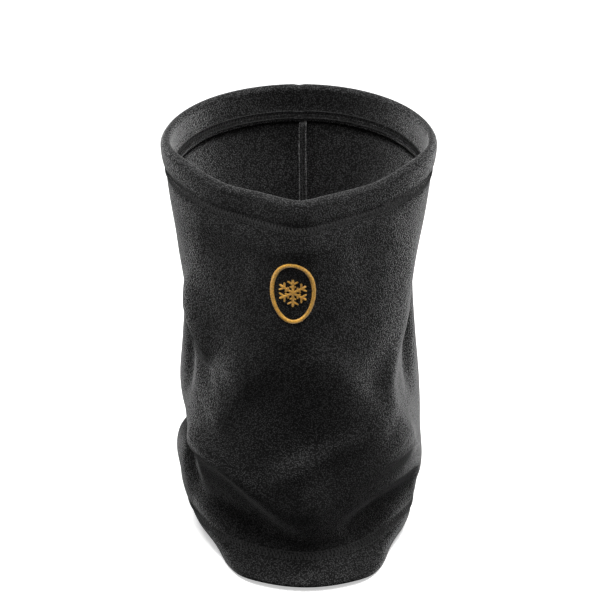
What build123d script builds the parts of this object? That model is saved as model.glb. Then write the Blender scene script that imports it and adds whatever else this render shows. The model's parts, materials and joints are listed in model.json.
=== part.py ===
"""Microfleece neck gaiter, worn height, as separate cloth, thread and trim pieces.

The tube stands on its bottom hem. +Z is up, the wearer faces -Y, and +X is the wearer's left.
The origin is the centre of the bottom hem, at the height of its lower edge. Millimetres.
"""

from build123d import *
from math import cos, pi, radians, sin
import os

# Cloth and thread
CLOTH = 2.4  # microfleece thickness
THREAD = 0.35  # how far a sewn thread stands off the cloth
THREAD_GAP = 0.15  # air between cloth and thread
LAYER_GAP = 0.3  # air between the two layers of a hem
FLAT_GAP = 0.1  # air between pieces sewn flat together
NEEDLE_ROW = 0.9  # height of one row of needle stitches

# The tube's cross-section at each height: half width, depth in front of the origin, depth
# behind it, and how far the cheeks lie flatter than an ellipse
GAITER_HEIGHT = 268.0
SECTIONS = {
    0.0: (64.5, 105.0, 105.0, 0.0),
    15.0: (72.5, 95.0, 97.0, 2.5),
    21.0: (75.0, 90.0, 93.0, 4.0),
    27.0: (77.0, 88.0, 92.0, 5.0),
    50.0: (80.5, 96.0, 99.0, 5.0),
    100.0: (78.0, 97.0, 99.0, 8.0),
    160.0: (73.5, 98.0, 100.0, 12.0),
    200.0: (77.5, 100.0, 101.0, 20.0),
    243.0: (84.5, 101.0, 103.0, 34.0),
    GAITER_HEIGHT: (88.0, 98.0, 101.0, 38.0),
}
OUTLINE_POINTS = 32

# Hems
HEM_DEPTH = 25.0  # from the fold to the raw edge of the turnback
FOLD_ROUND = 1.2  # how far the folded edge draws in
TOP_HEM_LOW = GAITER_HEIGHT - HEM_DEPTH + LAYER_GAP
TOP_HEM_INSIDE = 2 * CLOTH + LAYER_GAP
TOP_ROWS = (244.6, 249.3)  # heights of the two needle rows
BOTTOM_HEM_HIGH = 20.8  # raw edge of its turnback
BOTTOM_HEM_INSIDE = 2 * CLOTH + FLAT_GAP
BOTTOM_ROWS = (15.7, 19.9)

# Back seam, sewn inside and pressed to the wearer's left
SEAM_WIDTH = 6.0
SEAM_LOW = 21.4
SEAM_HIGH = 242.6
SEAM_INSIDE = CLOTH + FLAT_GAP
OVERLOCK_INSIDE = SEAM_INSIDE + 2 * CLOTH + FLAT_GAP
OVERLOCK_START = 1.0  # where its thread starts, beside the seam line

# Emblem on the front, where the embroidery stands on the cloth
EMBLEM_X = -3.7
EMBLEM_Z = 204.0
EMBLEM_PLANE = Plane(origin=(EMBLEM_X, 0, EMBLEM_Z), x_dir=(1, 0, 0), z_dir=(0, -1, 0))
EMBLEM_HALF_WIDTH = 14.3
EMBLEM_HALF_HEIGHT = 21.0
EMBLEM_BORDER = 2.6
EMBROIDERY = 0.8  # thickness of the satin stitches
SNOWFLAKE_ARMS = 6
ARM_LENGTH = 9.5
ARM_WIDTH = 1.6
BRANCH_LENGTH = 3.8
BRANCH_AT = 6.0
BRANCH_LEAN = 60
BACKING_MARGIN = 2.0
BACKING = 0.5

# Care label, a folded tape caught in the back seam
LABEL_LENGTH = 30.0
LABEL_HEIGHT = 17.0
LABEL_LOW = 27.0
LABEL_PLY = 0.35
LABEL_THICKNESS = 1.0
LABEL_HINGE = (7.6, 88.5)
LABEL_ANGLE = -35.0
LABEL_STITCH_AT = 3.0  # distance of its row of stitches from the seam line


def section_at(height):
    """The cross-section's four sizes, in line between the two nearest listed heights."""
    listed = sorted(SECTIONS)
    below = max(z for z in listed if z <= height)
    if below == height:
        return SECTIONS[below]
    above = min(z for z in listed if z > height)
    share = (height - below) / (above - below)
    return tuple(a + share * (b - a) for a, b in zip(SECTIONS[below], SECTIONS[above]))


def tube_section(height, outset):
    """Face inside the tube's outline, moved out from the cloth's outer side by outset."""
    half_width, front, back, cheek = section_at(height)
    points = []
    for step in range(OUTLINE_POINTS):
        angle = 2 * pi * step / OUTLINE_POINTS
        depth = back + outset
        if sin(angle) < 0:
            depth = front + outset - cheek * abs(cos(angle))
        points.append(((half_width + outset) * cos(angle), depth * sin(angle)))
    with BuildSketch(Plane.XY.offset(height)) as section:
        with BuildLine():
            Spline(*points, periodic=True)
        make_face()
    return section.sketch


def tube_loft(lowest, highest, outset, mode, fold_round=0.0):
    """Loft the solid inside one outset of the tube into the current part."""
    heights = [lowest] + [z for z in sorted(SECTIONS) if lowest < z < highest] + [highest]
    faces = [tube_section(z, outset) for z in heights]
    if fold_round:
        faces[-1:] = [
            tube_section(highest - abs(fold_round), outset),
            tube_section(highest, outset - fold_round),
        ]
    loft(faces, ruled=True, mode=mode)


def tube_wall(lowest, highest, inner, outer):
    """Loft the wall between two outsets of the tube into the current part."""
    tube_loft(lowest, highest, outer, Mode.ADD)
    tube_loft(lowest, highest, inner, Mode.SUBTRACT)


def keep_at_back(start, width):
    """Keep only the part of the wall between two distances to one side of the back seam."""
    with BuildSketch(Plane.XZ) as strip:
        with Locations((start, 0)):
            Rectangle(width, GAITER_HEIGHT, align=(Align.MIN, Align.MIN))
    extrude(strip.sketch, amount=-GAITER_HEIGHT, mode=Mode.INTERSECT)


def write(node, name):
    """Label one finished piece and write it."""
    node.part.label = name
    export_step(node.part, f"parts/{name}.step")


os.makedirs("parts", exist_ok=True)

# Cloth -------------------------------------------------------------------------------------

# The tube, from the fold of the bottom hem up to the top hem
with BuildPart() as fleece_tube:
    tube_wall(0, TOP_HEM_LOW - LAYER_GAP, -CLOTH, 0)
write(fleece_tube, "fleece_tube")

# Inner layer of the bottom hem
with BuildPart() as bottom_hem_turnback:
    tube_wall(0, BOTTOM_HEM_HIGH, -BOTTOM_HEM_INSIDE, -SEAM_INSIDE)
write(bottom_hem_turnback, "bottom_hem_turnback")

# Air between the two layers of the top hem
with BuildPart() as hem_slit:
    tube_wall(TOP_HEM_LOW, GAITER_HEIGHT - CLOTH, -CLOTH - LAYER_GAP, -CLOTH)

# Top hem: an outer and an inner layer, one cloth folded over at the rim
with BuildPart() as top_hem:
    tube_loft(TOP_HEM_LOW, GAITER_HEIGHT, 0, Mode.ADD, FOLD_ROUND)
    tube_loft(TOP_HEM_LOW, GAITER_HEIGHT, -TOP_HEM_INSIDE, Mode.SUBTRACT, -FOLD_ROUND)
    add(hem_slit.part, mode=Mode.SUBTRACT)
write(top_hem, "top_hem")

# Both layers of the back seam's allowance, lying flat against the inside of the tube
with BuildPart() as back_seam_allowance:
    tube_wall(SEAM_LOW, SEAM_HIGH, -SEAM_INSIDE - 2 * CLOTH, -SEAM_INSIDE)
    keep_at_back(0, SEAM_WIDTH)
write(back_seam_allowance, "back_seam_allowance")

# Thread ------------------------------------------------------------------------------------

# Overlock thread: over the allowance's inner face and round its cut edge
with BuildPart() as overlock_face:
    tube_wall(SEAM_LOW, SEAM_HIGH, -OVERLOCK_INSIDE - THREAD, -OVERLOCK_INSIDE)
    keep_at_back(OVERLOCK_START, SEAM_WIDTH + 2 * THREAD - OVERLOCK_START)
with BuildPart() as back_seam_overlock_thread:
    tube_wall(SEAM_LOW, SEAM_HIGH, -OVERLOCK_INSIDE - THREAD, -SEAM_INSIDE)
    keep_at_back(SEAM_WIDTH + THREAD, THREAD)
    add(overlock_face.part)
write(back_seam_overlock_thread, "back_seam_overlock_thread")

# Coverstitch on each hem: two rows of needle thread and the cover thread between them outside,
# and the looper thread inside
for hem, rows, inside in (
    ("top_hem", TOP_ROWS, TOP_HEM_INSIDE),
    ("bottom_hem", BOTTOM_ROWS, BOTTOM_HEM_INSIDE),
):
    lower, upper = rows
    for name, height in (("lower", lower), ("upper", upper)):
        with BuildPart() as needle_thread:
            tube_wall(height, height + NEEDLE_ROW, THREAD_GAP, THREAD_GAP + THREAD)
        write(needle_thread, f"{hem}_needle_thread_{name}")
    with BuildPart() as cover_thread:
        cover_low = lower + NEEDLE_ROW + THREAD_GAP
        tube_wall(cover_low, upper - THREAD_GAP, THREAD_GAP, THREAD_GAP + THREAD)
    write(cover_thread, f"{hem}_cover_thread")
    with BuildPart() as looper_thread:
        tube_wall(lower, upper + NEEDLE_ROW, -inside - THREAD_GAP - THREAD, -inside - THREAD_GAP)
    write(looper_thread, f"{hem}_looper_thread")

# Emblem ------------------------------------------------------------------------------------

EMBROIDERY_LOW = EMBLEM_Z - EMBLEM_HALF_HEIGHT - BACKING_MARGIN
EMBROIDERY_HIGH = EMBLEM_Z + EMBLEM_HALF_HEIGHT + BACKING_MARGIN

# Raised oval border
with BuildPart() as emblem_border:
    tube_wall(EMBROIDERY_LOW, EMBROIDERY_HIGH, THREAD_GAP, THREAD_GAP + EMBROIDERY)
    with BuildSketch(EMBLEM_PLANE):
        Ellipse(EMBLEM_HALF_WIDTH, EMBLEM_HALF_HEIGHT)
        inner_width = EMBLEM_HALF_WIDTH - EMBLEM_BORDER
        Ellipse(inner_width, EMBLEM_HALF_HEIGHT - EMBLEM_BORDER, mode=Mode.SUBTRACT)
    extrude(amount=GAITER_HEIGHT, mode=Mode.INTERSECT)
write(emblem_border, "emblem_border")

# Six-armed snowflake inside the border
with BuildPart() as emblem_snowflake:
    tube_wall(EMBROIDERY_LOW, EMBROIDERY_HIGH, THREAD_GAP, THREAD_GAP + EMBROIDERY)
    with BuildSketch(EMBLEM_PLANE):
        with PolarLocations(0, SNOWFLAKE_ARMS, start_angle=90):
            Rectangle(ARM_LENGTH, ARM_WIDTH, align=(Align.MIN, Align.CENTER))
        with PolarLocations(BRANCH_AT, SNOWFLAKE_ARMS, start_angle=90):
            for lean in (-BRANCH_LEAN, BRANCH_LEAN):
                Rectangle(BRANCH_LENGTH, ARM_WIDTH, rotation=lean, align=(Align.MIN, Align.CENTER))
    extrude(amount=GAITER_HEIGHT, mode=Mode.INTERSECT)
write(emblem_snowflake, "emblem_snowflake")

# Stabiliser behind the embroidery, inside the tube
with BuildPart() as emblem_backing:
    tube_wall(EMBROIDERY_LOW, EMBROIDERY_HIGH, -SEAM_INSIDE - BACKING, -SEAM_INSIDE)
    with BuildSketch(EMBLEM_PLANE):
        Ellipse(EMBLEM_HALF_WIDTH + BACKING_MARGIN, EMBLEM_HALF_HEIGHT + BACKING_MARGIN)
    extrude(amount=GAITER_HEIGHT, mode=Mode.INTERSECT)
write(emblem_backing, "emblem_backing")

# Care label --------------------------------------------------------------------------------

# A tape folded in two, held by its open end and free to turn about the seam
with BuildPart() as care_label:
    turn = radians(LABEL_ANGLE)
    hinge_line = Plane(
        origin=(*LABEL_HINGE, LABEL_LOW), x_dir=(cos(turn), sin(turn), 0), z_dir=(0, 0, 1)
    )
    with BuildSketch(hinge_line):
        Rectangle(LABEL_LENGTH, LABEL_THICKNESS, align=(Align.MIN, Align.CENTER))
        tape_gap = LABEL_THICKNESS - 2 * LABEL_PLY
        Rectangle(
            LABEL_LENGTH - LABEL_PLY, tape_gap, align=(Align.MIN, Align.CENTER), mode=Mode.SUBTRACT
        )
        Rectangle(LABEL_PLY, LABEL_THICKNESS, align=(Align.MIN, Align.CENTER))
    extrude(amount=LABEL_HEIGHT)
write(care_label, "care_label")

# The row of stitches that holds the label's end in the seam
with BuildPart() as care_label_stitch:
    stitch_inside = OVERLOCK_INSIDE + THREAD + THREAD_GAP
    label_high = LABEL_LOW + LABEL_HEIGHT
    tube_wall(LABEL_LOW, label_high, -stitch_inside - THREAD, -stitch_inside)
    keep_at_back(LABEL_STITCH_AT, NEEDLE_ROW)
write(care_label_stitch, "care_label_stitch")
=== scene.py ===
"""Looks of the neck gaiter: one folded microfleece cloth with its stitches, seam, emblem and label."""
import json
from math import cos, hypot, pi, radians, sin

import bpy
import numpy as np
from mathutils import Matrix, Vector
from mathutils.bvhtree import BVHTree


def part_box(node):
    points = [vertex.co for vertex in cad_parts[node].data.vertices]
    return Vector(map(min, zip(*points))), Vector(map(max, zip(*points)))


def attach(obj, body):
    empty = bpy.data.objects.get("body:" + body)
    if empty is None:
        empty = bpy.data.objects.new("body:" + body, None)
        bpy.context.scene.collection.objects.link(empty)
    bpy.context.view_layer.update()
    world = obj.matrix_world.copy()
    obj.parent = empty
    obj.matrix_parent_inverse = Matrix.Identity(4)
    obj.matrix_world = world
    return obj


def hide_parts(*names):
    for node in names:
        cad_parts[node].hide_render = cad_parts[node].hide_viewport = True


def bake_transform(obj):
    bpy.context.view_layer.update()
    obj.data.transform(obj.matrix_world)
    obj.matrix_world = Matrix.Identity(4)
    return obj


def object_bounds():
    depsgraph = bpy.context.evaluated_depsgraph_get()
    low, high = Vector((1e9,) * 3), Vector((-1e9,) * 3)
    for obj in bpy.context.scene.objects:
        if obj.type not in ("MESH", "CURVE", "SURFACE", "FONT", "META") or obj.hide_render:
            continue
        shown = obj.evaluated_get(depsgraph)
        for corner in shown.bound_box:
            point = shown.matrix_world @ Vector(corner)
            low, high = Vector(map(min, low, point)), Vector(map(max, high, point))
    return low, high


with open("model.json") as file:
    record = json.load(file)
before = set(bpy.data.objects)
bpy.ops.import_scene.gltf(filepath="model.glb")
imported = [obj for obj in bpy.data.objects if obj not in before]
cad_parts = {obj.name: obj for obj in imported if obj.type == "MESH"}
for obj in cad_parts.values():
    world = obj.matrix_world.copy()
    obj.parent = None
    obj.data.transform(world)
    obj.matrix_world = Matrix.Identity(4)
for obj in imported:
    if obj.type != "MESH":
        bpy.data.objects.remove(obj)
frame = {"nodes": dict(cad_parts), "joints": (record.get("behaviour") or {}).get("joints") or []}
cad_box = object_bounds()

MM = 0.001
rng = np.random.default_rng(7)

# Sizes taken from the CAD: the whole height, and the raw edges of both hems inside the tube
HEIGHT = cad_box[1].z
RIM_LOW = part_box("top_hem")[0].z
BASE_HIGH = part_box("bottom_hem_turnback")[1].z

# The cloth and how it is folded and sewn
CLOTH = 2.4 * MM  # thickness of one layer
LAYER_GAP = 0.3 * MM  # air between the two layers of a hem
HEM_INSIDE = 2 * CLOTH + LAYER_GAP  # depth of a hem's inner face under its outer one
FOLD_RADIUS = HEM_INSIDE / 2  # of the bottom hem's fold
RIM_ROLL = 1.6 * MM  # how much thicker the rolled rim is than a flat hem
RAW_EDGE = 0.4 * MM  # how far the middle of a hem's raw edge stands beyond its corners
RAW_CORNER = 0.8 * MM  # how much a raw edge's corners are rounded
STITCH_PITCH = 2.5 * MM
SEAM_PITCH = 2.2 * MM  # of the overlock at the back

# The grid on which the cloth's outer face is worked out
COLUMNS = 420
ROW_STEP = 1.4 * MM
MEAN_RADIUS = 86 * MM  # turns angles round the tube into lengths
SMOOTHING = 7 * MM  # rounds off the steps between the CAD's cross-sections
SOFTNESS = 2.5 * MM  # rounds off the folds

# Directions round the tube, in degrees from +X
FRONT = 270
CHEEKS = (232, 308)
CHEEK_WIDTH = 20

# How the worn cloth differs from the CAD tube
FOLD_END = 0.2  # share of a fold's depth that is left at its two ends
HEM_FADE = 22 * MM  # within this of an end of the tube the folds fade out
PUFF = 0.9 * MM  # how far a hem stands out between its fold and its stitches
ROW_GROOVE = 0.9 * MM  # how far a row of stitches pulls the cloth in
ROW_WIDTH = 1.0 * MM
SEAM_GROOVE = 1.3 * MM  # how far the back seam pulls the cloth in
SEAM_SPREAD = 1.8 * MM
UNEVEN = 0.8 * MM  # most that the brushed cloth is uneven
HEM_UNEVEN = 0.35  # share of that which is left at the ends
LEAN = 4.5 * MM  # how far the bottom hem is shifted to the side, at the front
LEAN_TOP = 70 * MM  # height at which that shift has faded out
FLARE = 5.5 * MM  # how far the bottom edge stands out over the front
TUCK = 3.5 * MM  # how far it is drawn in on both sides of that
CORNER = 2.0 * MM  # how far it stands out where the front turns to the sides
FLARE_HEIGHT = 8 * MM
RIM_DIP = 3.5 * MM  # how far the rim dips at the front
CHEEK_DIP = 3 * MM  # how much further it dips over each cheek
RIM_DIP_START = 200 * MM
LEVEL_EDGE = 15 * MM  # within this of an end the cloth's thickness is laid level


def mid_height(node):
    """Height of the middle of a CAD node."""
    low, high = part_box(node)
    return (low.z + high.z) / 2


def bell(values, middle, width, power=2):
    """1 at the middle, fading smoothly to 0 on both sides of it."""
    return np.exp(-(((values - middle) / width) ** power))


# Folds -------------------------------------------------------------------------------------

# Folds of the worn cloth: how far each stands out (or in), how wide it fades to the left and to
# the right of its own direction, all in mm, and its line as (degrees round the tube from +X,
# height in mm). -90 degrees is the front.
FOLDS = [
    # right cheek, on -X: edge of the front panel down to the chin, and the hollows behind it
    (1.6, 30, 15, [(-160, 232), (-158, 212), (-158, 194), (-156, 174), (-147, 160), (-136, 150)]),
    (-5.5, 10, 10, [(-212, 186), (-188, 181), (-168, 174), (-156, 164)]),
    (6.5, 20, 5, [(-161, 176), (-152, 166), (-144, 152), (-137, 138)]),
    (-5.5, 8, 10, [(-174, 162), (-163, 148), (-156, 128), (-154, 108)]),
    (-4.4, 18, 16, [(-216, 69), (-198, 73), (-178, 81), (-158, 79), (-148, 75)]),
    (-3.0, 15, 15, [(-152, 142), (-136, 135), (-118, 130), (-104, 128)]),
    (4.4, 10, 22, [(-97, 162), (-109, 140), (-118, 122), (-129, 100)]),
    (-6.0, 7, 6, [(-216, 62), (-200, 68), (-182, 76), (-163, 80), (-154, 72), (-152, 56), (-149, 44)]),
    (0.8, 9, 9, [(-202, 62), (-182, 58), (-166, 57), (-160, 46)]),
    # left cheek, on +X: edge of the front panel, and a second fold that bends to the shoulder
    (2.5, 16, 30, [(-20, 234), (-23, 216), (-27, 199), (-32, 182), (-41, 167), (-56, 156), (-80, 152)]),
    (3.5, 8, 12, [(-22, 172), (-33, 154), (-43, 136), (-47, 118), (-39, 94), (-27, 74)]),
    (-9.0, 13, 12, [(14, 212), (6, 192), (-6, 170), (-16, 146), (-22, 124), (-21, 104)]),
    (-1.5, 13, 13, [(-30, 150), (-44, 144), (-58, 136), (-72, 130)]),
    (5.4, 12, 22, [(-85, 165), (-66, 124), (-50, 96)]),
    (3.0, 9, 18, [(-64, 100), (-48, 88), (-28, 74)]),
    # under the chin: a narrow crest from each side
    (5.0, 9, 7, [(-150, 80), (-132, 77), (-118, 73), (-106, 60), (-98, 48)]),
    (4.5, 6, 9, [(-100, 68), (-92, 82), (-80, 92), (-66, 98)]),
    # belly under the chin: crests, keel, the hollows below them, and a crease over the bottom hem
    (4.5, 22, 9, [(-160, 88), (-142, 78), (-119, 74), (-102, 56), (-88, 40)]),
    (4.5, 26, 9, [(-86, 40), (-79, 54), (-60, 71), (-28, 78)]),
    (6.0, 12, 12, [(-93, 90), (-89, 60), (-87, 22)]),
    (-8.0, 26, 9, [(-160, 38), (-131, 38), (-114, 34), (-103, 28)]),
    (-9.0, 26, 9, [(-16, 38), (-45, 40), (-62, 36), (-74, 28)]),
    (-1.8, 4, 6, [(-142, 22), (-104, 24), (-87, 24), (-66, 25), (-42, 28)]),
    # puff under the top hem, and the hollows beside the nose
    (
        2.4, 7, 9,
        [(-172, 239), (-140, 237), (-121, 235), (-105, 232), (-84, 234), (-67, 236), (-44, 238), (-8, 240)],
    ),
    (-2.2, 14, 14, [(-140, 225), (-124, 218), (-110, 208)]),
    (-1.6, 14, 14, [(-44, 228), (-56, 222), (-68, 214)]),
    # back of the neck
    (-5.0, 15, 15, [(40, 112), (70, 104), (100, 106), (138, 120)]),
    (4.0, 14, 14, [(30, 88), (62, 76), (96, 78), (140, 92)]),
    (3.5, 12, 12, [(45, 142), (75, 134), (104, 136), (130, 148)]),
    (-3.0, 11, 11, [(44, 60), (66, 54)]),
    (-3.0, 11, 11, [(118, 54), (140, 62)]),
]
# The same for the bridge of the nose and the hollows beside it, which reach the rim
NOSE_FOLDS = [
    (2.5, 9, 9, [(-89, 290), (-89, 240), (-89, 212)]),
    (-1.6, 16, 16, [(-113, 290), (-114, 250), (-115, 190)]),
    (-1.4, 16, 16, [(-64, 290), (-64, 250), (-62, 190)]),
]


def smooth_line(line):
    """Points along a Catmull-Rom curve through the points of a fold's line."""
    points = np.array([(radians(a) * MEAN_RADIUS, z * MM) for a, z in line])
    points = np.vstack([2 * points[0] - points[1], points, 2 * points[-1] - points[-2]])
    t = np.linspace(0, 1, 6, endpoint=False)[:, None]
    route = []
    for p0, p1, p2, p3 in zip(points, points[1:], points[2:], points[3:]):
        square = 2 * p0 - 5 * p1 + 4 * p2 - p3
        cube = 3 * (p1 - p2) + p3 - p0
        route.append(p1 + 0.5 * t * (p2 - p0 + t * (square + t * cube)))
    return np.vstack(route + [points[-2:-1]])


def fold_depth(folds, angles, heights):
    """How far every point of the cloth stands out because of the folds, in metres."""
    up = heights[:, None]
    total = np.zeros((len(heights), len(angles)))
    for depth, left, right, line in folds:
        route = smooth_line(line)
        middle = route[:, 0].mean() / MEAN_RADIUS
        across = ((angles[None, :] - middle + pi) % (2 * pi) - pi + middle) * MEAN_RADIUS
        steps = np.diff(route, axis=0)
        lengths = np.hypot(steps[:, 0], steps[:, 1])
        walked = np.concatenate([[0], np.cumsum(lengths)])
        nearest = np.full(total.shape, np.inf)
        along = np.zeros(total.shape)
        width = np.ones(total.shape)
        for (ax, az), (sx, sz), length, start in zip(route, steps, lengths, walked):
            dx, dz = across - ax, up - az
            t = np.clip((dx * sx + dz * sz) / length**2, 0, 1)
            far = np.hypot(dx - t * sx, dz - t * sz)
            closer = far < nearest
            nearest = np.where(closer, far, nearest)
            along = np.where(closer, start + t * length, along)
            width = np.where(closer, np.where(sx * dz - sz * dx > 0, left, right), width)
        fade = np.sin(np.clip(along / walked[-1], 0, 1) * pi) ** 0.6
        total += depth * MM * bell(nearest, 0, width * MM) * (FOLD_END + (1 - FOLD_END) * fade)
    return total


# Outer face of the cloth -------------------------------------------------------------------


def cad_surface():
    """Ray-cast tests against the outside of the CAD tube and hem."""
    points, faces = [], []
    for node in ("fleece_tube", "top_hem"):
        obj = frame["nodes"][node]
        start = len(points)
        points += [obj.matrix_world @ v.co for v in obj.data.vertices]
        faces += [[start + i for i in f.vertices] for f in obj.data.polygons]
    return BVHTree.FromPolygons(points, faces)


def cad_radius(angles, heights):
    """How far the CAD's outside is from the tube's middle line, at every height and angle."""
    surface = cad_surface()
    outside = 0.3  # metres from the middle line, where the rays start
    radius = np.zeros((len(heights), len(angles)))
    for i, height in enumerate(heights):
        # rays keep off the rounded ends and the gap where the hem meets the tube
        z = min(max(height, 0.5 * MM), HEIGHT - 1.5 * MM)
        if RIM_LOW - 0.6 * MM < z < RIM_LOW + 0.1 * MM:
            z = RIM_LOW + 0.2 * MM
        for j, angle in enumerate(angles):
            out = Vector((cos(angle), sin(angle), 0))
            hit = surface.ray_cast(Vector((0, 0, z)) + out * outside, -out)[0]
            radius[i, j] = hit.xy.length
    return radius


def height_blur(grid, reach, step):
    """The grid blurred up and down, with its end rows kept in place."""
    count = int(3 * reach / step)
    kernel = np.exp(-0.5 * (np.arange(-count, count + 1) * step / reach) ** 2)
    kernel /= kernel.sum()
    low = 2 * grid[:1] - grid[count:0:-1]
    high = 2 * grid[-1:] - grid[-2 : -count - 2 : -1]
    padded = np.concatenate([low, grid, high])
    return np.apply_along_axis(lambda line: np.convolve(line, kernel, "valid"), 0, padded)


def round_blur(grid, reach):
    """The grid blurred round the tube."""
    waves = np.arange(COLUMNS // 2 + 1)
    fade = np.exp(-0.5 * (waves * reach / MEAN_RADIUS) ** 2)
    return np.fft.irfft(np.fft.rfft(grid, axis=1) * fade, COLUMNS, axis=1)


def unevenness(angles, heights, size, longest, shortest, count):
    """Soft random bumps of a cloth that was worn and brushed."""
    total = np.zeros((len(heights), len(angles)))
    for _ in range(count):
        length = np.exp(rng.uniform(np.log(shortest), np.log(longest)))
        lean = rng.uniform(0, 2 * pi)
        waves = round(cos(lean) * 2 * pi * MEAN_RADIUS / length)
        climb = sin(lean) * 2 * pi / length
        wave = np.sin(waves * angles[None, :] + climb * heights[:, None] + rng.uniform(0, 2 * pi))
        total += wave * length
    return total * size / np.abs(total).max()


def hem_relief(heights):
    """Hem bands puffed between fold and stitches, and drawn in along each row of stitches."""
    relief = np.zeros(len(heights))
    for hem, fold in (("top_hem", HEIGHT), ("bottom_hem", 0.0)):
        rows = [mid_height(f"{hem}_needle_thread_{name}") for name in ("lower", "upper")]
        nearer = min(rows, key=lambda z: abs(z - fold))
        half = abs(nearer - fold) / 2
        relief += PUFF * bell(heights, (nearer + fold) / 2, 0.8 * half, power=4)
        for row in rows:
            relief -= ROW_GROOVE * bell(heights, row, ROW_WIDTH)
    return relief


def edge_flare(angles, heights):
    """How far the bottom edge stands out over the front, and is drawn in beside it."""
    # middles and widths of the bells are degrees to either side of the front
    aside = np.abs(np.degrees(angles) - FRONT)
    flare = FLARE * bell(aside, 0, 40, power=4) - TUCK * bell(aside, 52, 16)
    flare += CORNER * bell(aside, 21, 8)
    return bell(heights, 0, FLARE_HEIGHT)[:, None] * flare[None, :]


def grid_normals(grid):
    """Outward unit normals of a grid of rows that closes round the tube."""
    across = np.roll(grid, -1, 1) - np.roll(grid, 1, 1)
    up = np.gradient(grid, axis=0)
    normal = np.cross(across, up)
    return normal / np.linalg.norm(normal, axis=2, keepdims=True)


def cloth_lift(angles, heights):
    """How far the worn cloth stands off the smoothed CAD tube."""
    hold = np.clip(np.minimum(heights, HEIGHT - heights) / HEM_FADE, 0, 1)[:, None]
    lift = fold_depth(FOLDS, angles, heights) * hold + fold_depth(NOSE_FOLDS, angles, heights)
    lift = round_blur(height_blur(lift, SOFTNESS, heights[1]), SOFTNESS)
    uneven = unevenness(angles, heights, UNEVEN, longest=90 * MM, shortest=30 * MM, count=40)
    lift += uneven * (HEM_UNEVEN + (1 - HEM_UNEVEN) * hold)
    lift += hem_relief(heights)[:, None]
    from_seam = (angles - pi / 2) * MEAN_RADIUS
    lift -= SEAM_GROOVE * bell(from_seam, 0, SEAM_SPREAD)[None, :]
    lift += edge_flare(angles, heights)
    return lift


def worn_cloth():
    """Outer face of the cloth: angles round it, heights of its rows, its points and normals."""
    angles = np.arange(COLUMNS) * 2 * pi / COLUMNS
    heights = np.linspace(0, HEIGHT, round(HEIGHT / ROW_STEP) + 1)
    radius = cad_radius(angles, heights)
    radius = round_blur(height_blur(radius, SMOOTHING, heights[1]), SMOOTHING)
    level = np.repeat(heights[:, None], COLUMNS, 1)
    base = np.stack([radius * np.cos(angles), radius * np.sin(angles), level], 2)
    points = base + grid_normals(base) * cloth_lift(angles, heights)[:, :, None]
    front = np.clip(-np.sin(angles), 0, 1)[None, :]
    low = np.clip(1 - heights / LEAN_TOP, 0, 1)[:, None] ** 1.5
    points[:, :, 0] += LEAN * low * (1 + front) / 2
    high = np.clip((heights - RIM_DIP_START) / (HEIGHT - RIM_DIP_START), 0, 1)[:, None] ** 2
    cheeks = sum(bell(angles, radians(a), radians(CHEEK_WIDTH)) for a in CHEEKS)
    points[:, :, 2] -= high * (RIM_DIP * front**1.5 + CHEEK_DIP * cheeks[None, :])
    normals = grid_normals(points)
    normals[:, :, 2] *= np.clip(np.minimum(heights, HEIGHT - heights) / LEVEL_EDGE, 0, 1)[:, None]
    normals /= np.linalg.norm(normals, axis=2, keepdims=True)
    return angles, heights, points, normals


ANGLES, HEIGHTS, POINTS, NORMALS = worn_cloth()


def sample(angle, height, lift=0.0):
    """Points at angles round the cloth and heights on it, lifted off its outer face."""
    angle, height, lift = np.broadcast_arrays(*(np.asarray(v, float) for v in (angle, height, lift)))
    col = (angle / (2 * pi) * COLUMNS) % COLUMNS
    row = np.clip(height / HEIGHTS[1], 0, len(HEIGHTS) - 1.000001)  # stays short of the last row
    c0, r0 = np.floor(col).astype(int), np.floor(row).astype(int)
    u, v = (col - c0)[..., None], (row - r0)[..., None]
    c0, c1 = c0 % COLUMNS, (c0 + 1) % COLUMNS
    found = []
    for grid in (POINTS, NORMALS):
        low = grid[r0, c0] * (1 - u) + grid[r0, c1] * u
        high = grid[r0 + 1, c0] * (1 - u) + grid[r0 + 1, c1] * u
        found.append(low * (1 - v) + high * v)
    points = found[0] + found[1] * lift[..., None]
    points[..., 2] = np.maximum(points[..., 2], 0)  # nothing goes through the floor
    return points


# Pieces ------------------------------------------------------------------------------------


def mesh_object(name, points, faces, material_used):
    """A smooth mesh piece made of given points and faces."""
    mesh = bpy.data.meshes.new(name)
    mesh.from_pydata([tuple(p) for p in points], [], faces)
    mesh.validate()
    mesh.polygons.foreach_set("use_smooth", [True] * len(mesh.polygons))
    mesh.materials.append(material_used)
    obj = bpy.data.objects.new(name, mesh)
    bpy.context.scene.collection.objects.link(obj)
    return obj


def ring_faces(count, size, start=0, closed=False):
    """Faces that join each ring of points to the next, and the last to the first if closed."""
    faces = []
    for k in range(count if closed else count - 1):
        low, high = start + k * size, start + (k + 1) % count * size
        for m in range(size):
            n = (m + 1) % size
            faces.append((low + m, low + n, high + n, high + m))
    return faces


def end_caps(count, size, start=0):
    """The faces that close the first and the last of a series of rings."""
    last = start + (count - 1) * size
    return [tuple(range(start + size - 1, start - 1, -1)), tuple(range(last, last + size))]


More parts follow.
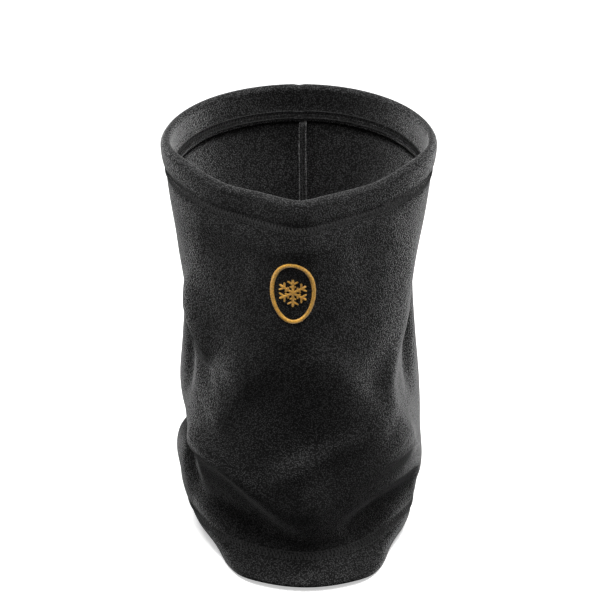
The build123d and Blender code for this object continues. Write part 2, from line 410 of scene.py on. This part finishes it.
def strands(name, lines, radius, material_used, sides=6):
    """One mesh of many short round threads, each along its own line of points."""
    points, faces = [], []
    start = 0
    ring = np.linspace(0, 2 * pi, sides, endpoint=False)
    for line in lines:
        way = np.gradient(line, axis=0)
        way /= np.linalg.norm(way, axis=1, keepdims=True)
        side = np.cross(way, line.mean(0) * (1, 1, 0) + (0, 0, 1e-4))
        side /= np.linalg.norm(side, axis=1, keepdims=True)
        out = np.cross(side, way)
        taper = np.ones(len(line))
        taper[[0, -1]] = 0.45  # the ends are thinner, where they go into the cloth
        for p, s, o, t in zip(line, side, out, taper):
            points.append(p + (np.cos(ring)[:, None] * s + np.sin(ring)[:, None] * o) * radius * t)
        faces += ring_faces(len(line), sides, start)
        faces += end_caps(len(line), sides, start)
        start += len(line) * sides
    return mesh_object(name, np.concatenate(points), faces, material_used)


def finish_piece(made, node, body):
    """Put a piece in the place of its CAD node."""
    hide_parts(node)
    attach(made, body)
    return made


# Materials ---------------------------------------------------------------------------------


def material(name, color, roughness):
    """A new principled material and its shader."""
    made = bpy.data.materials.new(name)
    made.use_nodes = True
    shader = made.node_tree.nodes["Principled BSDF"]
    shader.inputs["Base Color"].default_value = (*color, 1)
    shader.inputs["Roughness"].default_value = roughness
    return made, shader


def noise(made, scale, detail=3.0, roughness=0.55):
    """A noise texture in object space."""
    nodes, links = made.node_tree.nodes, made.node_tree.links
    place = nodes.new("ShaderNodeTexCoord")
    texture = nodes.new("ShaderNodeTexNoise")
    texture.inputs["Scale"].default_value = scale
    texture.inputs["Detail"].default_value = detail
    texture.inputs["Roughness"].default_value = roughness
    links.new(place.outputs["Object"], texture.inputs["Vector"])
    return texture.outputs["Fac"]


def mottle(made, shader, fac, first, second, low=0.35, high=0.68):
    """Colour by a texture: the first colour below low, the second above high, a blend between."""
    nodes, links = made.node_tree.nodes, made.node_tree.links
    ramp = nodes.new("ShaderNodeValToRGB")
    ramp.color_ramp.elements[0].position = low
    ramp.color_ramp.elements[1].position = high
    ramp.color_ramp.elements[0].color = (*first, 1)
    ramp.color_ramp.elements[1].color = (*second, 1)
    links.new(fac, ramp.inputs["Fac"])
    links.new(ramp.outputs["Color"], shader.inputs["Base Color"])


def bump(made, shader, fac, distance, strength):
    """Raise the surface by a texture, by up to a distance in metres."""
    nodes, links = made.node_tree.nodes, made.node_tree.links
    node = nodes.new("ShaderNodeBump")
    node.inputs["Distance"].default_value = distance
    node.inputs["Strength"].default_value = strength
    links.new(fac, node.inputs["Height"])
    links.new(node.outputs["Normal"], shader.inputs["Normal"])


def fleece_material():
    """Black pile in small tufts, with painted light on the tuft tops and painted shade in the gaps between
    them, a little uneven from place to place.
    """
    made, shader = material("black_microfleece", (0.006, 0.006, 0.006), 1.0)
    shader.inputs["Specular IOR Level"].default_value = 0.04
    shader.inputs["Sheen Weight"].default_value = 0.48
    shader.inputs["Sheen Roughness"].default_value = 0.3
    nodes, links = made.node_tree.nodes, made.node_tree.links
    place = nodes.new("ShaderNodeTexCoord")
    tufts = nodes.new("ShaderNodeTexVoronoi")
    tufts.feature = "SMOOTH_F1"
    tufts.inputs["Scale"].default_value = 1100
    tufts.inputs["Smoothness"].default_value = 0.35
    links.new(place.outputs["Object"], tufts.inputs["Vector"])
    gaps = tufts.outputs["Distance"]
    patches = noise(made, 70, 2.0, 0.5)
    mix = nodes.new("ShaderNodeMath")
    mix.operation = "MULTIPLY_ADD"
    mix.inputs[1].default_value = 0.15
    links.new(patches, mix.inputs[0])
    links.new(gaps, mix.inputs[2])
    # painted light on the tops of the tufts and painted shade in the sunken gaps between them; the slow
    # patches are tone that really varies
    tuft_painted_light_color, gap_painted_shade_color = (0.076, 0.076, 0.077), (0.008, 0.008, 0.008)
    mottle(made, shader, mix.outputs["Value"], tuft_painted_light_color, gap_painted_shade_color, 0.12, 0.58)
    upside = nodes.new("ShaderNodeMath")
    upside.operation = "SUBTRACT"
    upside.inputs[0].default_value = 1.0
    links.new(gaps, upside.inputs[1])
    bump(made, shader, upside.outputs["Value"], 0.5 * MM, 1.0)
    return made


def thread_material(name, dark, light, roughness, sheen):
    """Thread, felt or satin of fine fibres in two greys."""
    made, shader = material(name, light, roughness)
    shader.inputs["Sheen Weight"].default_value = sheen
    shader.inputs["Sheen Roughness"].default_value = 0.3
    fibres = noise(made, 2600, 2.0, 0.6)
    mottle(made, shader, fibres, dark, light)
    bump(made, shader, fibres, 0.08 * MM, 0.5)
    return made


def gold_material():
    """Shiny twisted gold thread, darker here and there."""
    made, shader = material("gold_embroidery_thread", (0.5, 0.3, 0.07), 0.38)
    shader.inputs["Sheen Weight"].default_value = 0.25
    shader.inputs["Anisotropic"].default_value = 0.5
    shader.inputs["Specular IOR Level"].default_value = 0.6
    mottle(made, shader, noise(made, 900), (0.42, 0.20, 0.012), (0.86, 0.47, 0.05))
    bump(made, shader, noise(made, 3200, 2.0), 0.08 * MM, 0.5)
    return made


FLEECE = fleece_material()
BLACK_THREAD = thread_material("black_sewing_thread", (0.002,) * 3, (0.009,) * 3, 0.75, 0.05)
GOLD = gold_material()
BACKING = thread_material("stabiliser_felt", (0.02,) * 3, (0.07,) * 3, 0.9, 0.2)
TAPE = thread_material("label_satin", (0.5, 0.49, 0.46), (0.72, 0.71, 0.68), 0.45, 0.2)


# Cloth -------------------------------------------------------------------------------------


def cloth_profile():
    """One loop round the cloth's thickness, hems folded in, as (height, depth under the face)."""
    slit = CLOTH + LAYER_GAP
    roll = FOLD_RADIUS + RIM_ROLL / 2
    top, bottom = HEIGHT - roll, FOLD_RADIUS
    turns = np.linspace(0, pi, 11)
    # up the outer face and over the rim
    body = list(np.arange(bottom, top, HEIGHTS[1])) + [top]
    loop = [(z, 0.0) for z in body]
    loop += [(top + roll * sin(a), roll * (1 - cos(a))) for a in turns[1:]]
    # down the inner face of the top hem, round its raw edge and up again between its layers
    share = np.linspace(0, 1, 14)
    edge = RIM_LOW + share * (top - RIM_LOW)
    puff = RIM_ROLL * share**2 * (3 - 2 * share)
    loop += [(z, HEM_INSIDE + p) for z, p in zip(edge[-2::-1], puff[-2::-1])]
    loop += [(RIM_LOW - RAW_EDGE, HEM_INSIDE - RAW_CORNER), (RIM_LOW - RAW_EDGE, slit + RAW_CORNER)]
    loop += [(z, slit) for z in edge]
    # down the inner face of the tube
    loop += [(z, CLOTH) for z in body[::-1]]
    # up between the layers of the bottom hem, round its raw edge and down to the fold
    edge = bottom + np.linspace(0, 1, 12) * (BASE_HIGH - bottom)
    loop += [(z, slit) for z in edge]
    loop += [(BASE_HIGH + RAW_EDGE, slit + RAW_CORNER), (BASE_HIGH + RAW_EDGE, HEM_INSIDE - RAW_CORNER)]
    loop += [(z, HEM_INSIDE) for z in edge[::-1]]
    loop += [(bottom - FOLD_RADIUS * sin(a), FOLD_RADIUS * (1 + cos(a))) for a in turns[1:-1]]
    return loop


def make_cloth():
    """The panel with both its hems, as one closed mesh."""
    loop = cloth_profile()
    points = np.concatenate([sample(ANGLES, z, -inset) for z, inset in loop])
    made = mesh_object("fleece_cloth", points, ring_faces(len(loop), COLUMNS, closed=True), FLEECE)
    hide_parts("fleece_tube", "top_hem", "bottom_hem_turnback")
    return made


cloth = make_cloth()
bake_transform(cloth)


# Hem stitches ------------------------------------------------------------------------------


def row_angles(height, pitch):
    """Angles of evenly spaced stitch holes round the cloth at one height."""
    fine = np.linspace(0, 2 * pi, 2001)
    path = sample(fine, height)
    walked = np.concatenate([[0], np.cumsum(np.linalg.norm(np.diff(path, axis=0), axis=1))])
    count = round(walked[-1] / pitch)
    return np.interp(np.arange(count + 1) * walked[-1] / count, walked, fine)


def needle_row(name, body):
    """A row of lockstitches that sink into the cloth at each end."""
    height = mid_height(name)
    holes = row_angles(height, STITCH_PITCH)
    share = np.array([0.04, 0.16, 0.38, 0.62, 0.84, 0.96])
    lift = np.array([-0.35, 0.18, 0.3, 0.3, 0.18, -0.35]) * MM
    lines = [sample(a + (b - a) * share, height, lift) for a, b in zip(holes, holes[1:])]
    made = strands(f"{name}_stitches", lines, 0.27 * MM, BLACK_THREAD)
    return finish_piece(made, name, body)


def cover_row(name, rows, body, inside):
    """Zigzag thread between the two needle rows, on the face or on the inside of a hem."""
    low, high = (mid_height(row) for row in rows)
    holes = row_angles((low + high) / 2, STITCH_PITCH)
    base, rise = (-HEM_INSIDE - 0.25 * MM, -0.3 * MM) if inside else (0.1 * MM, 0.3 * MM)
    share = np.linspace(0, 1, 5)
    lift = base + rise * np.sin(share * pi)
    lines = []
    for a, b in zip(holes, holes[1:]):
        middle = a + 0.2 * (b - a)
        lines.append(sample(a + (middle - a) * share, low + (high - low) * share, lift))
        lines.append(sample(middle + (b - middle) * share, high + (low - high) * share, lift))
    if inside:
        for height in (low, high):
            lines += [sample(a + (b - a) * share, height, lift) for a, b in zip(holes, holes[1:])]
    made = strands(f"{name}_stitches", lines, 0.28 * MM, BLACK_THREAD, sides=5)
    return finish_piece(made, name, body)


for hem, body in (("top_hem", "face_edge"), ("bottom_hem", "neck_tube")):
    rows = [f"{hem}_needle_thread_{which}" for which in ("lower", "upper")]
    for row in rows:
        needle_row(row, body)
    cover_row(f"{hem}_cover_thread", rows, body, inside=False)
    cover_row(f"{hem}_looper_thread", rows, body, inside=True)


# Back seam ---------------------------------------------------------------------------------

SEAM_LOW, SEAM_HIGH = (corner.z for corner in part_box("back_seam_allowance"))
SEAM_PINCH = 0.84  # keeps the seam to its CAD width where the wall leans

# Cross-section of the two cut edges, as (distance from the seam line, depth under the tube's
# inner face), in mm
SEAM_OUTLINE = [
    (0.2, 0.1), (2.0, 0.0), (4.5, 0.0), (5.7, 0.25), (6.0, 0.6), (6.0, 2.0), (5.6, 2.35),
    (6.0, 2.8), (6.0, 4.2), (5.6, 4.75), (4.5, 4.85), (2.0, 4.7), (0.4, 4.2), (0.1, 2.4),
]


def beside_seam(across, z, under):
    """Points under the outer face at the back, at distances to one side of the seam line."""
    radius = np.hypot(*sample(pi / 2, np.min(z))[:2])
    return sample(pi / 2 - across / radius, z, -under)


def seam_allowance():
    """Both cut edges of the panel, pressed to one side inside the tube."""
    width = np.array([s for s, _ in SEAM_OUTLINE]) * MM
    under = np.array([d for _, d in SEAM_OUTLINE]) * MM + CLOTH + 0.1 * MM
    rings = []
    for k, z in enumerate(np.arange(SEAM_LOW, SEAM_HIGH, SEAM_PITCH)):
        wobble = 1 + 0.03 * sin(k * 1.9) + 0.02 * sin(k * 0.7)
        rings.append(beside_seam(width * wobble * SEAM_PINCH, z, under))
    faces = ring_faces(len(rings), len(SEAM_OUTLINE)) + end_caps(len(rings), len(SEAM_OUTLINE))
    return mesh_object("back_seam_edges", np.concatenate(rings), faces, FLEECE)


def overlock():
    """Loops of thread round the cut edges and a row of stitches along them."""
    across = np.array([0.9, 2.5, 4.6, 6.1, 6.45, 6.45, 6.1, 4.6]) * MM * SEAM_PINCH
    under = np.array([4.95, 5.1, 5.15, 5.0, 4.2, 1.2, 0.1, 0.02]) * MM + CLOTH
    climb = np.array([0.0, 0.15, 0.4, 0.55, 0.6, 0.75, 0.85, 0.9]) * SEAM_PITCH
    row_climb = np.array([0.0, 0.5, 1.0]) * SEAM_PITCH
    lines = []
    for k in range(int((SEAM_HIGH - SEAM_LOW - 2 * MM) / SEAM_PITCH)):
        z = SEAM_LOW + MM + k * SEAM_PITCH
        lines.append(beside_seam(across, z + climb, under))
        lines.append(beside_seam(0.9 * MM, z + row_climb, CLOTH + 5.1 * MM))
    return strands("back_seam_overlock_loops", lines, 0.2 * MM, BLACK_THREAD, sides=5)


for made, node, slot in (
    (seam_allowance(), "back_seam_allowance", "black_fleece"),
    (overlock(), "back_seam_overlock_thread", "black_thread"),
):
    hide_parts(node)
    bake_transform(made)


# Emblem ------------------------------------------------------------------------------------

GOLD_THREAD = 0.24 * MM  # radius
THREAD_STEP = 0.4 * MM  # from one satin stitch to the next
BORDER_WIDTH = 2.6 * MM
BORDER_SLANT = 0.05  # radians round the oval from a stitch's outer end to its inner end


def middle_and_reach(node):
    """Middle of a CAD node seen from the front, and half its width and height."""
    low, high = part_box(node)
    return (low.x + high.x) / 2, (low.z + high.z) / 2, (high.x - low.x) / 2, (high.z - low.z) / 2


def on_front(x, z, lift):
    """Points on the front of the cloth at given x and height, lifted off it."""
    fine = np.radians(np.linspace(-130, -50, 161))  # the part of the front that the emblem is on
    x, z, lift = np.broadcast_arrays(*(np.asarray(v, float) for v in (x, z, lift)))
    found = [
        sample(np.interp(xx, sample(fine, zz)[:, 0], fine), zz, ll)
        for xx, zz, ll in zip(x.ravel(), z.ravel(), lift.ravel())
    ]
    return np.array(found)


def satin(starts, ends, crown):
    """Satin stitches side by side, each arched from one edge of the shape to the other."""
    share = np.array([0.0, 0.14, 0.38, 0.62, 0.86, 1.0])
    lift = np.array([-0.15, 0.62, 1.0, 1.0, 0.62, -0.15]) * crown
    lines = []
    for (x0, z0), (x1, z1) in zip(starts, ends):
        lines.append(on_front(x0 + (x1 - x0) * share, z0 + (z1 - z0) * share, lift))
    return lines


def border_lines():
    """Stitches across the oval border, a little uneven at its outer edge."""
    cx, cz, wide, tall = middle_and_reach("emblem_border")
    count = int(pi * (wide + tall) / THREAD_STEP)
    starts, ends = [], []
    for turn in np.arange(count) * 2 * pi / count:
        jitter = rng.uniform(-0.12, 0.12) * MM
        inner = turn + BORDER_SLANT
        starts.append((cx + (wide - BORDER_WIDTH) * cos(inner), cz + (tall - BORDER_WIDTH) * sin(inner)))
        ends.append((cx + (wide + jitter) * cos(turn), cz + (tall + jitter) * sin(turn)))
    return satin(starts, ends, 0.75 * MM)


def bar_lines(x, z, heading, length, width, crown):
    """Stitches across one straight bar of the snowflake, which narrows at its end."""
    along = np.array([cos(heading), sin(heading)])
    across = np.array([-along[1], along[0]])
    starts, ends = [], []
    for s in np.arange(0, length, THREAD_STEP):
        half = width / 2 * min(1.0, 0.45 + (length - s) / (1.6 * MM))
        p = np.array([x, z]) + along * s
        starts.append(p - across * half)
        ends.append(p + across * half)
    return satin(starts, ends, crown)


def snowflake_lines():
    """Stitches of six arms, each with two pairs of side branches."""
    cx, cz, _, reach = middle_and_reach("emblem_snowflake")
    lines = []
    for arm in range(6):
        heading = pi / 2 + arm * pi / 3
        lines += bar_lines(cx, cz, heading, reach, 1.7 * MM, 0.7 * MM)
        for distance, length in ((6.0 * MM, 3.8 * MM), (3.4 * MM, 2.4 * MM)):
            x, z = cx + distance * cos(heading), cz + distance * sin(heading)
            for lean in (-pi / 3, pi / 3):
                lines += bar_lines(x, z, heading + lean, length, 1.2 * MM, 0.6 * MM)
    return lines


def emblem_backing():
    """Thin felt oval inside the cloth, behind the embroidery."""
    cx, cz, wide, tall = middle_and_reach("emblem_backing")
    ring_count, size = 8, 48
    turn = np.linspace(0, 2 * pi, size, endpoint=False)
    points = []
    for depth in (CLOTH + 0.1 * MM, CLOTH + 0.55 * MM):
        points.append(on_front(cx, cz, -depth))
        for ring in range(1, ring_count + 1):
            uneven = 0.02 * np.sin(turn * 5) if ring == ring_count else 0.0  # the cut edge
            reach = ring / ring_count * (1 + uneven)
            x, z = cx + wide * reach * np.cos(turn), cz + tall * reach * np.sin(turn)
            points.append(on_front(x, z, -depth))
    per_side = 1 + ring_count * size
    faces = []
    for start, order in ((0, 1), (per_side, -1)):
        for m in range(size):
            n = (m + 1) % size
            faces.append((start, start + 1 + m, start + 1 + n)[::order])
            for ring in range(ring_count - 1):
                low_ring = start + 1 + ring * size
                quad = (low_ring + m, low_ring + size + m, low_ring + size + n, low_ring + n)
                faces.append(quad[::order])
    rim = 1 + (ring_count - 1) * size
    for m in range(size):
        n = (m + 1) % size
        faces.append((rim + m, per_side + rim + m, per_side + rim + n, rim + n))
    return mesh_object("emblem_stabiliser", np.concatenate(points), faces, BACKING)


for name, lines in (("border", border_lines()), ("snowflake", snowflake_lines())):
    made = strands(f"emblem_{name}_satin", lines, GOLD_THREAD, GOLD, sides=5)
    finish_piece(made, f"emblem_{name}", "face_edge")
stabiliser = finish_piece(emblem_backing(), "emblem_backing", "face_edge")


# Care label --------------------------------------------------------------------------------

LABEL_PLY = 0.3 * MM  # thickness of the tape
LABEL_GAP = 0.35 * MM  # between its two layers


def label_line(length):
    """Middle of the folded tape from above: out along one layer, round the fold and back."""
    share = np.linspace(0, 1, 27)
    along = share * (length - LABEL_GAP)
    curl = 1.2 * MM * np.sin(share * pi * 0.9)
    open_by = LABEL_GAP / 2 + 0.15 * MM * np.sin(share * pi)
    turn = np.linspace(pi / 2, -pi / 2, 7)[1:-1]
    fold = np.stack([along[-1] + LABEL_GAP / 2 * np.cos(turn), curl[-1] + LABEL_GAP / 2 * np.sin(turn)], 1)
    out = np.stack([along, curl + open_by], 1)
    back = np.stack([along, curl - open_by], 1)[::-1]
    return np.concatenate([out, fold, back])


def label():
    """A satin tape folded in two, curling a little towards its free end."""
    low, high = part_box("care_label")
    joint = next(j for j in frame["joints"] if j["name"] == "care_label_swing")
    hinge = Vector(joint["pos_m"])
    reach = Vector((high.x - hinge.x, low.y - hinge.y, 0))
    way = reach.normalized()
    side = Vector((-way.y, way.x, 0))
    line = label_line(reach.length - 0.4 * MM)
    away = np.gradient(line, axis=0)
    away = np.stack([-away[:, 1], away[:, 0]], 1)
    away /= np.linalg.norm(away, axis=1, keepdims=True)
    rings = []
    for z in np.linspace(low.z, high.z, 13):
        wave = 0.12 * MM * np.sin(line[:, 0] * 160 + z * 900)
        edge = np.concatenate([line + away * LABEL_PLY, line[::-1]])
        edge[:, 1] += np.concatenate([wave, wave[::-1]])
        flat = [hinge + way * float(s) + side * float(c) for s, c in edge]
        rings.append([(p.x, p.y, z) for p in flat])
    size = 2 * len(line)
    faces = ring_faces(len(rings), size)
    for k in (0, len(rings) - 1):
        for m in range(len(line) - 1):
            quad = tuple(k * size + q for q in (m, m + 1, size - 2 - m, size - 1 - m))
            faces.append(quad if k else quad[::-1])
    return mesh_object("care_label_tape", np.concatenate(rings), faces, TAPE)


def label_stitches():
    """The row of stitches that holds the label to the back seam."""
    low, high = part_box("care_label_stitch")
    count = int((high.z - low.z) / STITCH_PITCH)
    holes = np.linspace(low.z, high.z, count + 1)
    share = np.array([0.05, 0.2, 0.5, 0.8, 0.95])
    under = np.array([7.6, 7.95, 8.0, 7.95, 7.6]) * MM
    x = (low.x + high.x) / 2
    lines = []
    for a, b in zip(holes, holes[1:]):
        radius = np.hypot(*sample(pi / 2, a)[:2])
        lines.append(sample(pi / 2 - x / radius, a + (b - a) * share, -under))
    return strands("care_label_stitches", lines, 0.25 * MM, BLACK_THREAD)


label_tape = finish_piece(label(), "care_label", "care_label")
label_stitch = finish_piece(label_stitches(), "care_label_stitch", "neck_tube")


# Floor, light and camera -------------------------------------------------------------------


def floor():
    """A pale, faintly glowing floor, kept from throwing light back up at the object."""
    made, shader = material("studio_floor", (0.86, 0.86, 0.86), 0.9)
    shader.inputs["Emission Color"].default_value = (1, 1, 1, 1)
    shader.inputs["Emission Strength"].default_value = 0.5
    bpy.ops.mesh.primitive_plane_add(size=12, location=(0, 2, 0))
    plane = bpy.context.object
    plane.name = "studio_floor"
    plane.visible_diffuse = False
    plane.data.materials.append(made)


def softbox(name, place, size, power):
    """A square area light that points at the middle of the object."""
    data = bpy.data.lights.new(name, "AREA")
    data.shape = "RECTANGLE"
    data.size, data.size_y = size, size
    data.energy = power
    lamp = bpy.data.objects.new(name, data)
    bpy.context.scene.collection.objects.link(lamp)
    lamp.visible_camera = False
    lamp.location = place
    aim = Vector((0, 0, HEIGHT / 2)) - lamp.location
    lamp.rotation_euler = aim.to_track_quat("-Z", "Y").to_euler()


def sky():
    """Soft grey daylight, brightest straight above and almost dark below the horizon."""
    world = bpy.data.worlds.new("studio")
    bpy.context.scene.world = world
    world.use_nodes = True
    nodes, links = world.node_tree.nodes, world.node_tree.links
    place = nodes.new("ShaderNodeTexCoord")
    height = nodes.new("ShaderNodeSeparateXYZ")
    spread = nodes.new("ShaderNodeMapRange")
    spread.inputs["From Min"].default_value = -1
    shade = nodes.new("ShaderNodeValToRGB")
    ramp = shade.color_ramp
    for share, level in ((0.48, 0.02), (0.6, 0.1), (0.8, 0.25), (1.0, 0.38)):
        stop = ramp.elements.new(share) if share < 1 else ramp.elements[-1]
        stop.color = (level, level, level, 1)
    links.new(place.outputs["Generated"], height.inputs["Vector"])
    links.new(height.outputs["Z"], spread.inputs["Value"])
    links.new(spread.outputs["Result"], shade.inputs["Fac"])
    links.new(shade.outputs["Color"], nodes["Background"].inputs["Color"])


def camera():
    """A long lens in front of the object, looking down on it as the photograph's does."""
    elevation = radians(23.5)
    distance = 3.0
    data = bpy.data.cameras.new("camera")
    data.sensor_width = 36
    data.lens = 279
    data.clip_end = 50
    cam = bpy.data.objects.new("camera", data)
    bpy.context.scene.collection.objects.link(cam)
    back = Vector((0, -cos(elevation), sin(elevation)))
    up = Vector((0, sin(elevation), cos(elevation)))
    aim = Vector((0.0007, -0.010, HEIGHT / 2)) + up * 0.0245
    cam.location = aim + back * distance
    cam.rotation_euler = (-back).to_track_quat("-Z", "Y").to_euler()
    bpy.context.scene.camera = cam


floor()
sky()
# a large key light in front, and a smaller light above each side
softbox("key", place=(0.06, -0.7, 1.3), size=0.7, power=12)
softbox("side_left", place=(-0.4, -0.06, 1.2), size=0.35, power=9.5)
softbox("side_right", place=(0.4, -0.06, 1.2), size=0.35, power=14)
bpy.context.scene.view_settings.view_transform = "Standard"
camera()
